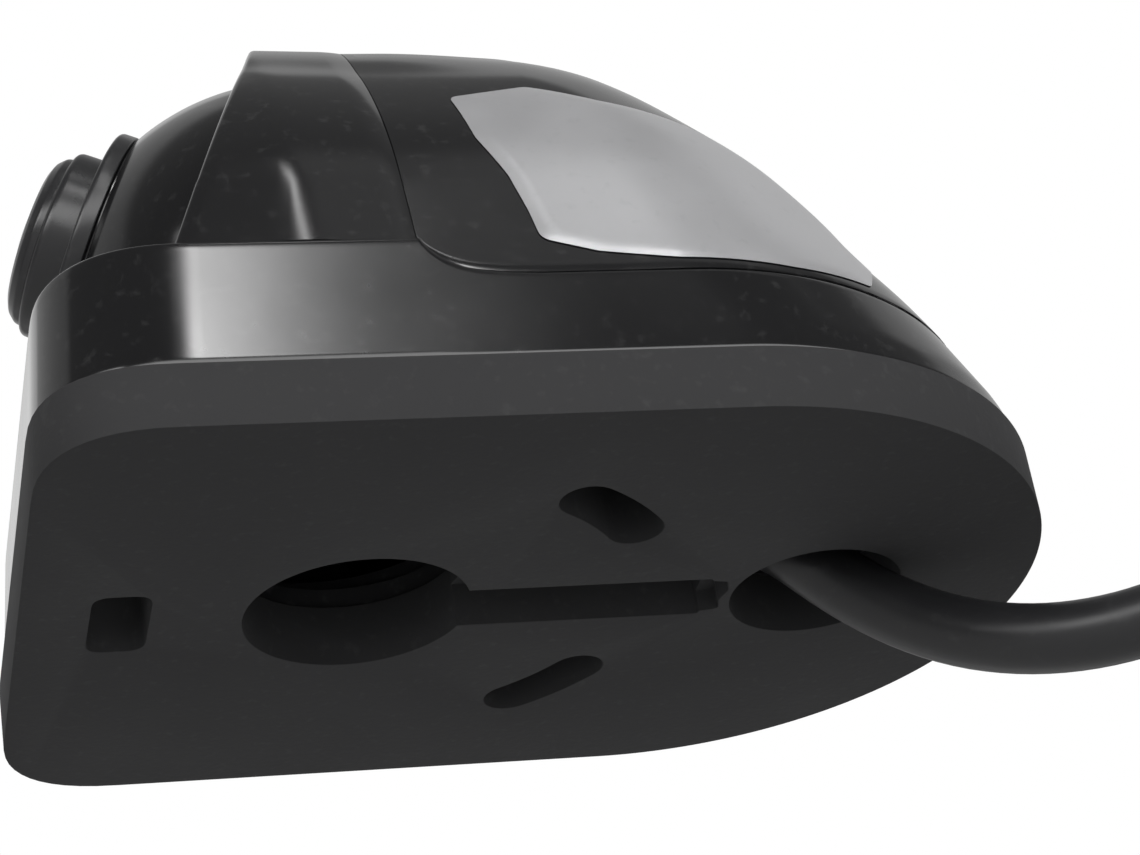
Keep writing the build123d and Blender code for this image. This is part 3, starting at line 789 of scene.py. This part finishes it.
class PART_OT_hood(bpy.types.Operator):
    """Arched hood with a leaning front edge"""
    bl_idname = "camera_part.hood"
    bl_label = "Hood"

    def execute(self, context):
        half_rows = 64
        inner = HOOD_INSET + HOOD_WALL
        # the section's points: distance from the front or rear edge, or share of the way between, and inset
        section = [("front", 0.0, inner - 0.15)]
        section += [("front", offset, HOOD_INSET + deeper)
                    for offset, deeper in ((0.0, 0.4), (0.04, 0.22), (0.14, 0.08), (0.3, 0.02), (0.5, 0.0))]
        section += [("share", k / 12, HOOD_INSET) for k in range(1, 12)]
        roll, depth = HOOD_ROLL
        section += [("rear", roll * (1 - k / 10), HOOD_INSET + depth * (k / 10) ** 2) for k in range(11)]
        section += [("rear", 0.0, inner), ("share", 0.5, inner), ("front", 0.15, inner)]

        def at(u, v):
            i = round(u * 2 * half_rows)
            end, offset, inset = section[round(v * len(section)) % len(section)]
            side = 1 if i > half_rows else -1
            share = 1 - abs(i - half_rows) / half_rows
            y, z = arch_section(share, inset, HOOD_LOW)
            front = HOOD_FRONT + HOOD_LEAN * (z - TUB_TOP)
            x = {"front": front + offset, "rear": HOOD_REAR - offset,
                 "share": front + 0.5 + (HOOD_REAR - roll - front - 0.5) * offset}[end]
            draw = hood_draw(x)
            rolled = inset - HOOD_INSET if end == "rear" and inset < inner else 0.0
            y, z = arch_section(share, inset + draw - CROWN_EASE * crown_share(z) * (draw + rolled), HOOD_LOW)
            return swollen(x, y * side, z)

        hood = close_holes(weld(sheet_of("hood_shell", 2 * half_rows, len(section), at)))
        feet = []
        for side in (1, -1):
            feet.append(side_block("s", side, -14.0, -2.5, 27.3, 28.9, 14.5, 20.5, 0.2))
            feet.append(side_block("l", side, -9, -1, 22.5, 28.9, 14.5, 17.0, 0.2))
        hood = join("hood_arch", hood, *feet)
        finish_piece(hood, 40, "housing", "gloss_black", "hood")
        return {"FINISHED"}


def cover_sink(x, z):
    """How far the cover's skin lies deeper near its front edge."""
    start, end, depth = COVER_SINK
    return depth * (1 - crown_share(z)) * min(1.0, max(0.0, (end - x) / (end - start)))


def cover_round(z, inset):
    """Radius and centre of the cover's half-round tail at a height."""
    half = half_width(z, inset)
    return half, through(TAIL_LINE, z) + (COVER_INSET - inset) - half


def cover_point(share, z, inset):
    """Point of the sloping back: share 0 to 1 runs from the front edge round the tail to the other front edge."""
    half, centre = cover_round(z, inset)
    straight, step = 0.35, 0.2
    run = share if share < 0.5 else 1 - share
    side = -1 if share < 0.5 else 1
    if run <= straight:
        bend = min(COVER_FRONT + STEP_CURVE[-1][0], (COVER_FRONT + centre) / 2)
        if run < step:
            return COVER_FRONT + (bend - COVER_FRONT) * (run / step) ** 1.5, side * half
        return bend + (centre - bend) * (run - step) / (straight - step), side * half
    a = math.radians(90) * (run - straight) / (0.5 - straight)
    return centre + half * math.sin(a), side * half * math.cos(a)


class PART_OT_rear_cover(bpy.types.Operator):
    """Sloping cover behind the hood, with a tongue in the seam and lugs for its screws"""
    bl_idname = "camera_part.rear_cover"
    bl_label = "Rear cover"

    def execute(self, context):
        low = STEP_Z + SEAM
        top = CROWN_Z + CROWN_R - COVER_INSET

        def at(u, v):
            _, z_full = arch_section(v, COVER_INSET, low)
            bottom = step_height(cover_point(u, low, COVER_INSET)[0] - SEAM) + SEAM
            if u in (0.0, 1.0):
                bottom = STEP_CURVE[0][1] + SEAM
            z = bottom + (min(z_full, top) - low) * (top - bottom) / (top - low)
            x, y = cover_point(u, min(z, top), COVER_INSET)
            up = max(0.0, z - CROWN_Z)
            scale = 1 - cover_sink(x, z) / max(math.hypot(y, up), 1.0)
            return swollen(x, y * scale, z - up + up * scale)

        cover = weld(sheet_of("cover_skin", 240, 72, at))
        pick(cover)
        shell = cover.modifiers.new("wall", "SOLIDIFY")
        shell.thickness = COVER_WALL * MM
        shell.offset = -1.0
        shell.use_even_offset = True
        bpy.ops.object.modifier_apply(modifier=shell.name)
        bevel(cover, COVER_EDGE, 2, 50)
        pieces = [cover]
        for side in (1, -1):
            pieces.append(side_block("lug", side, 20, 28, 22.0, 28.6, 14.0, 16.4, 0.3))
            pieces.append(seam_tongue(side))
        cover = join("back_cover", *pieces)
        finish_piece(cover, 40, "housing", "gloss_black", "rear_cover")
        return {"FINISHED"}


def seam_tongue(side):
    """Strip that stands under the hood's rear edge and closes the seam."""
    front, rear = HOOD_REAR - 1.5, COVER_FRONT + 2
    corners = [(front, 1.8), (rear, 1.8), (rear, 2.9), (front, 2.9)]
    low, rows = 20.5, 24

    def at(i, j):
        x, inset = corners[i]
        z = low + (TONGUE_TOP - low) * j / rows
        return x, side * half_width(z, inset), z

    strip = sheet_of("tongue", 4, rows, lambda u, v: at(round(u * 4) % 4, round(v * rows)))
    return close_holes(weld(strip, 0.000002))


def cover_side(x, z, inset):
    """Distance of the cover's flank from the middle plane."""
    half, centre = cover_round(z, inset)
    if x <= centre:
        return half
    return math.sqrt(max(half**2 - (x - centre) ** 2, 0.0))


def close_spaced(points, step):
    """The closed outline with further points on its long edges."""
    dense = []
    for (x0, y0), (x1, y1) in zip(points, points[1:] + points[:1]):
        count = max(1, math.ceil(math.hypot(x1 - x0, y1 - y0) / step))
        dense += [(x0 + (x1 - x0) * k / count, y0 + (y1 - y0) * k / count) for k in range(count)]
    return dense


class PART_OT_label(bpy.types.Operator):
    """Bare film sticker on the cover's flank"""
    bl_idname = "camera_part.label"
    bl_label = "Bare label"

    def execute(self, context):
        corners = [(9.4, 37.4), (16.5, 39.4), (22.3, 37.0), (31.7, 35.2), (39.5, 31.6), (43.5, 26.0), (44.0, 20.0),
                   (41.6, 15.0), (34.0, 14.7), (24.0, 15.1), (17.4, 16.1), (13.0, 17.7), (12.6, 21.1), (11.8, 25.4),
                   (10.1, 30.5)]
        radii = [0.9, 1.5, 3, 4, 3, 3, 3, 0.8, 5, 5, 3, 1.4, 2, 3, 4]
        edge = close_spaced(corner_round(corners, radii, 8), 0.5)
        middle = Vector((25.0, 25.5))
        count = len(edge)
        rings = 24

        def at(u, share):
            p = middle + (Vector(edge[round(u * count) % count]) - middle) * share
            lift = LABEL_LIFT + LABEL_FILM * min(1.0, (1 - share) * rings / 2)
            return swollen(p.x, -cover_side(p.x, p.y, COVER_INSET + cover_sink(p.x, p.y) - lift), p.y)

        label = weld(sheet_of("label", count, rings, at), 0.000005)
        finish_piece(label, 60, "housing", "label_silver", "label_plate")
        return {"FINISHED"}


def to_head(obj):
    """Move a piece from the lens axis, along Z, to its place in the head."""
    turn = Matrix.Rotation(math.radians(LENS_TILT - 90), 4, "Y")
    obj.data.transform(Matrix.Translation(BALL * MM) @ turn)
    return obj


class PART_OT_ball(bpy.types.Operator):
    """Two halves of the ball with its neck"""
    bl_idname = "camera_part.ball"
    bl_label = "Ball"

    def execute(self, context):
        inner = BALL_R - BALL_WALL
        seam = 0.04

        def arc(radius, start, end, count):
            """Points of a meridian between two angles from the middle plane."""
            spots = [start + (end - start) * k / count for k in range(count + 1)]
            return [(radius * math.cos(a), radius * math.sin(a)) for a in spots]

        shoulder = math.asin(SHOULDER_S / BALL_R)
        profile = arc(BALL_R, math.asin(SEAM_S / BALL_R), shoulder, 44)
        edge = profile.pop()
        profile += corner_round([(edge[0] + 0.4, edge[1] - 0.3), edge, (NECK_R, SHOULDER_S)], [0, 0.6, 0], 5)[1:-1]
        profile += [(NECK_R, SHOULDER_S), (NECK_R, NECK_S - 0.2), (NECK_R - 0.2, NECK_S), (BORE_R, NECK_S)]
        profile += arc(inner, math.acos(BORE_R / inner), math.asin(SEAM_S / inner), 24)
        front = turned("ball_front_shell", profile, 160)
        profile = arc(BALL_R, -math.pi / 2, math.asin((SEAM_S - seam) / BALL_R), 36)
        profile += arc(inner, math.asin((SEAM_S - seam) / inner), -math.pi / 2, 24)
        rear = turned("ball_rear_shell", profile, 160)
        for shell, solid in ((front, "ball_front"), (rear, "ball_rear")):
            for side in (1, -1):
                cut(shell, side_block("t", side, -30, 30, FLAT_Y, 40, -30, 30))
            to_head(shell)
            finish_piece(shell, 35, "camera_head", "gloss_black", solid)
        return {"FINISHED"}


class PART_OT_bezel(bpy.types.Operator):
    """Stepped ring, lens ring and domed window"""
    bl_idname = "camera_part.bezel"
    bl_label = "Bezel and window"

    def execute(self, context):
        profile = corner_round([(6.95, 15.0), (7.55, 15.0), (7.55, NECK_S), (11.25, NECK_S), (11.25, 20.1),
                                (8.45, 20.1), (8.45, FRONT_S), (6.95, FRONT_S)],
                               [0, 0, 0, 0.15, 0.5, 0.3, 0.7, 0], 6)
        ring = to_head(turned("bezel_ring", profile, 160))
        finish_piece(ring, 35, "camera_head", "bezel_black", "bezel")
        z = FRONT_S
        profile = corner_round([(6.4, z), (7.72, z), (7.6, z + 0.65), (7.0, z + 1.3), (6.3, z + 1.6), (5.75, z + 1.6),
                                (5.75, z + 1.3), (6.4, z + 1.3)], [0, 0.06, 0.6, 0.6, 0.3, 0.1, 0, 0], 5)
        ring = to_head(turned("lens_ring_turned", profile, 160))
        finish_piece(ring, 35, "camera_head", "bezel_black", "lens_ring")

        def dome(radius, top, reach, count):
            """Points of a round cap from the axis out to its reach."""
            spots = [reach * k / count for k in range(count + 1)]
            return [(r, top - radius + math.sqrt(radius**2 - r**2)) for r in spots]

        apex, rim, opening = z + 2.4, 5.65, 4.9
        flange = [(rim, z + 1.2), (6.3, z + 1.2), (6.3, z + 0.05), (opening, z + 0.05)]
        glass = dome(15.7, apex, rim, 16) + flange + dome(14.4, apex - 1.3, opening, 12)[::-1]
        window = to_head(turned("window_dome", glass, 128))
        finish_piece(window, 30, "camera_head", "glass_clear", "front_glass")
        return {"FINISHED"}


class PART_OT_plug(bpy.types.Operator):
    """Round plug with its boot, body and knurled nut"""
    bl_idname = "camera_part.plug"
    bl_label = "Plug"

    def execute(self, context):
        z = PLUG_Z
        boot = corner_round([(3.0, BOOT_Z), (3.7, BOOT_Z), (4.3, z + 4.5), (5.2, z + 4.0), (5.2, z), (3.0, z)],
                            [0, 0.3, 0.4, 0.4, 0.2, 0], 4)
        body = corner_round([(3.0, z), (6.2, z), (6.2, z - 3), (7.0, z - 3.6), (7.0, z - 11.6), (6.4, z - 12.2),
                             (5.95, z - 12.2), (5.95, z - 26), (4.9, z - 26), (4.9, z - 6), (3.0, z - 4)], 0.15, 3)
        for name, profile, slot, solid in (("plug_boot_turned", boot, "rubber_black", "plug_boot"),
                                           ("plug_shell", body, "nickel", "plug_body")):
            piece = turned(name, profile, 64)
            piece.data.transform(Matrix.Translation(Vector((TAIL_X, TAIL_Y, 0)) * MM))
            finish_piece(piece, 35, "housing", slot, solid)

        rim = [(6.0, -12.5), (7.4, -12.5), (7.9, -13.0), (7.95, -13.6), (7.95, -21.7), (7.9, -22.2), (7.6, -22.6),
               (7.6, -25.4), (7.2, -26.0), (6.0, -26.0)]
        knurls = 28

        def at(u, v):
            i = round(v * len(rim)) % len(rim)
            radius, height = rim[i]
            a = 2 * math.pi * u
            if i in (3, 4):
                radius -= 0.28 * (0.5 - 0.5 * math.cos(knurls * a))
            return TAIL_X + radius * math.cos(a), TAIL_Y + radius * math.sin(a), z + height

        nut = weld(sheet_of("coupling_ring", knurls * 8, len(rim), at), 0.000004)
        finish_piece(nut, 40, "plug_nut", "nickel", "coupling_nut")
        return {"FINISHED"}


class PART_OT_tie(bpy.types.Operator):
    """Ribbed strap and lock round the coil"""
    bl_idname = "camera_part.tie"
    bl_label = "Cable tie"

    def execute(self, context):
        half = context.scene.camera_part_sizes.tie_width / MM / 2
        width = COIL_TURNS * COIL_PITCH + 2 * CABLE_R
        x = COIL_CENTRE[0] - CABLE_R + width / 2
        z = COIL_CENTRE[2] + COIL_R
        w, h = width / 2 + 0.3, CABLE_R + 0.3
        loop = corner_round([(-w, -h), (w, -h), (w, h), (-w, h)], 2.9, 8)
        count = len(loop)
        band = [(0.0, -half), (0.9, -half), (0.9, half), (0.0, half)]

        def at(u, v):
            i = round(u * count) % count
            px, pz = loop[i]
            out, y = band[round(v * 4) % 4]
            qx, qz = loop[(i + 1) % count]
            rx, rz = loop[i - 1]
            normal = Vector((qz - rz, -(qx - rx))).normalized()
            rib = 0.15 if (i % 2 and out > 0) else 0.0
            return x + px + normal.x * (out - rib), COIL_CENTRE[1] + y, z + pz + normal.y * (out - rib)

        strap = weld(sheet_of("tie_strap", count, 4, at), 0.000002)
        lock = block_of("lock", x - 0.75, x + 4.75, COIL_CENTRE[1] - 2.8, COIL_CENTRE[1] + 2.8, z + 4.0, z + 6.7, 0.4)
        strap = join("coil_tie", strap, lock)
        finish_piece(strap, 40, "housing", "matte_black", "cable_tie")
        return {"FINISHED"}


class PART_OT_inner_finishes(bpy.types.Operator):
    """Materials of the solids that are kept"""
    bl_idname = "camera_part.inner_finishes"
    bl_label = "Inner finishes"

    def execute(self, context):
        slots = {item["node"]: item["material_slot"] for item in frame["record"]["subparts"]}
        for name, solid in frame["nodes"].items():
            if solid.hide_render:
                continue
            solid.data.materials.clear()
            solid.data.materials.append(surface(slots[name]))
        return {"FINISHED"}


class PART_OT_stage(bpy.types.Operator):
    """Pale floor, white room and soft light panels"""
    bl_idname = "camera_part.stage"
    bl_label = "Stage"

    def execute(self, context):
        look = context.scene.camera_part_look
        scene = context.scene
        scene.view_settings.view_transform = "Standard"
        scene.world = room_world(look)
        deselect()
        bpy.ops.mesh.primitive_grid_add(x_subdivisions=8, y_subdivisions=8, size=6.0, location=(0, 0, FLOOR_Z))
        floor = settle(bpy.context.object)
        floor.name = "floor"
        floor.data.materials.append(
            finish("pale floor", tuple(look.floor_colour), 0.7, 0.05, 30, 0.0, wave=3, dust=0.0, shade=0.01))
        lamp = bpy.data.objects.new("floor_light", bpy.data.lights.new("floor_light", "AREA"))
        lamp.data.shape = "SQUARE"
        lamp.data.size = 1.6
        lamp.data.energy = 3.0 * look.panel_light
        lamp.visible_glossy = False
        lamp.location = (1.1, 0.5, 0.9)
        lamp.rotation_euler = (Vector((0.1, -0.1, -0.3)) - lamp.location).to_track_quat("-Z", "Y").to_euler()
        scene.collection.objects.link(lamp)
        return {"FINISHED"}


# soft panels round the part: name, direction, turn in degrees, (left, right) and (low, high) edges as slopes from
# the direction, softness of the left, right, low and high edge, how fast it fades to the right, strength
SOFT_PANELS = [
    ("side", (0.19, -0.77, 0.61), -6, (-0.068, 0.24), (-0.13, 0.17), (0.11, 0.02, 0.06, 0.06), 17.0, 43.0),
    ("streak", (0.165, -0.45, 0.88), 0, (-0.014, 0.034), (-0.06, 0.12), (0.03, 0.03, 0.05, 0.14), 2.0, 14.0),
    ("glow", (0.165, -0.45, 0.88), 0, (0.07, 0.5), (-0.10, 0.20), (0.04, 0.3, 0.05, 0.16), 0.0, 0.25),
    ("above", (0.2, 0.60, 0.77), -22, (-0.9, 0.9), (-0.8, 0.15), (0.3, 0.3, 0.5, 0.05), 0.0, 0.33),
    ("left", (-0.40, 0.60, 0.69), -25, (-0.5, 0.9), (-0.9, 0.46), (0.3, 0.3, 0.3, 0.18), 0.0, 0.32),
    ("low", (-0.64, -0.66, 0.34), 0, (-0.25, 0.22), (-0.14, 0.12), (0.15, 0.15, 0.1, 0.1), 0.0, 7.0),
    ("front", (0.2, -0.97, 0.12), 0, (-1.0, 1.0), (-0.10, 0.34), (0.6, 0.6, 0.12, 0.15), 0.0, 4.4),
]


def soft_panel(tree, ray, direction, turn, sides, heights, edges, fade, strength):
    """Bright rectangle with soft edges in one direction of the room."""
    ahead = Vector(direction).normalized()
    across = Matrix.Rotation(math.radians(turn), 3, ahead) @ Vector((0, 0, 1)).cross(ahead).normalized()
    up = ahead.cross(across)
    dots = []
    for axis in (ahead, across, up):
        dot = node(tree, "ShaderNodeVectorMath", operation="DOT_PRODUCT")
        dot.inputs[1].default_value = axis
        tree.links.new(ray, dot.inputs[0])
        dots.append(dot.outputs["Value"])
    result = math_node(tree, "GREATER_THAN", dots[0], 0.05)
    for number, (low, high) in ((1, sides), (2, heights)):
        slope = math_node(tree, "DIVIDE", dots[number], dots[0])
        soft_low, soft_high = edges[2 * number - 2:2 * number]
        for start, end in ((low - soft_low / 2, low + soft_low / 2), (high + soft_high / 2, high - soft_high / 2)):
            result = math_node(tree, "MULTIPLY", result, step_node(tree, slope, start, end))
        if number == 1 and fade > 0:
            left = step_node(tree, slope, high, low, smooth=False)
            result = math_node(tree, "MULTIPLY", result, math_node(tree, "POWER", left, fade))
    return math_node(tree, "MULTIPLY", result, strength)


def room_world(look):
    """White behind the part, an even dim room and soft panels round it."""
    world = bpy.data.worlds.new("room")
    world.use_nodes = True
    tree = world.node_tree
    back = tree.nodes["Background"]
    back.inputs["Color"].default_value = (1, 1, 1, 1)
    path = node(tree, "ShaderNodeLightPath")
    seen = math_node(tree, "MAXIMUM", path.outputs["Is Camera Ray"], path.outputs["Is Transmission Ray"])
    ray = node(tree, "ShaderNodeTexCoord").outputs["Generated"]
    total = float(look.room_light)
    for _, *panel, power in SOFT_PANELS:
        total = math_node(tree, "ADD", soft_panel(tree, ray, *panel, power * look.panel_light), total)
    strength = node(tree, "ShaderNodeMix", data_type="FLOAT")
    tree.links.new(seen, strength.inputs["Factor"])
    tree.links.new(total, strength.inputs["A"])
    strength.inputs["B"].default_value = 1.0
    tree.links.new(strength.outputs["Result"], back.inputs["Strength"])
    return world


OPERATORS = [PART_OT_view_camera, PART_OT_cable, PART_OT_gasket, PART_OT_lower_housing, PART_OT_hood,
             PART_OT_rear_cover, PART_OT_label, PART_OT_ball, PART_OT_bezel, PART_OT_plug, PART_OT_tie,
             PART_OT_inner_finishes, PART_OT_stage]


class PART_PT_panel(bpy.types.Panel):
    """Lists the pieces of the camera part"""
    bl_idname = "PART_PT_panel"
    bl_label = "Camera part"
    bl_space_type = "VIEW_3D"
    bl_region_type = "UI"
    bl_category = "Camera part"

    def draw(self, context):
        for group in (context.scene.camera_part_sizes, context.scene.camera_part_look):
            for key in group.bl_rna.properties.keys():
                if key not in ("rna_type", "name"):
                    self.layout.prop(group, key)
        for item in OPERATORS:
            self.layout.operator(item.bl_idname)


CLASSES = [CameraPartSizes, CameraPartLook, *OPERATORS, PART_PT_panel]


def register():
    for item in CLASSES:
        bpy.utils.register_class(item)
    bpy.types.Scene.camera_part_sizes = bpy.props.PointerProperty(type=CameraPartSizes)
    bpy.types.Scene.camera_part_look = bpy.props.PointerProperty(type=CameraPartLook)


def unregister():
    del bpy.types.Scene.camera_part_sizes
    del bpy.types.Scene.camera_part_look
    for item in reversed(CLASSES):
        bpy.utils.unregister_class(item)


def main():
    register()
    for item in OPERATORS:
        module, name = item.bl_idname.split(".")
        getattr(getattr(bpy.ops, module), name)()


if __name__ == "__main__":
    main()
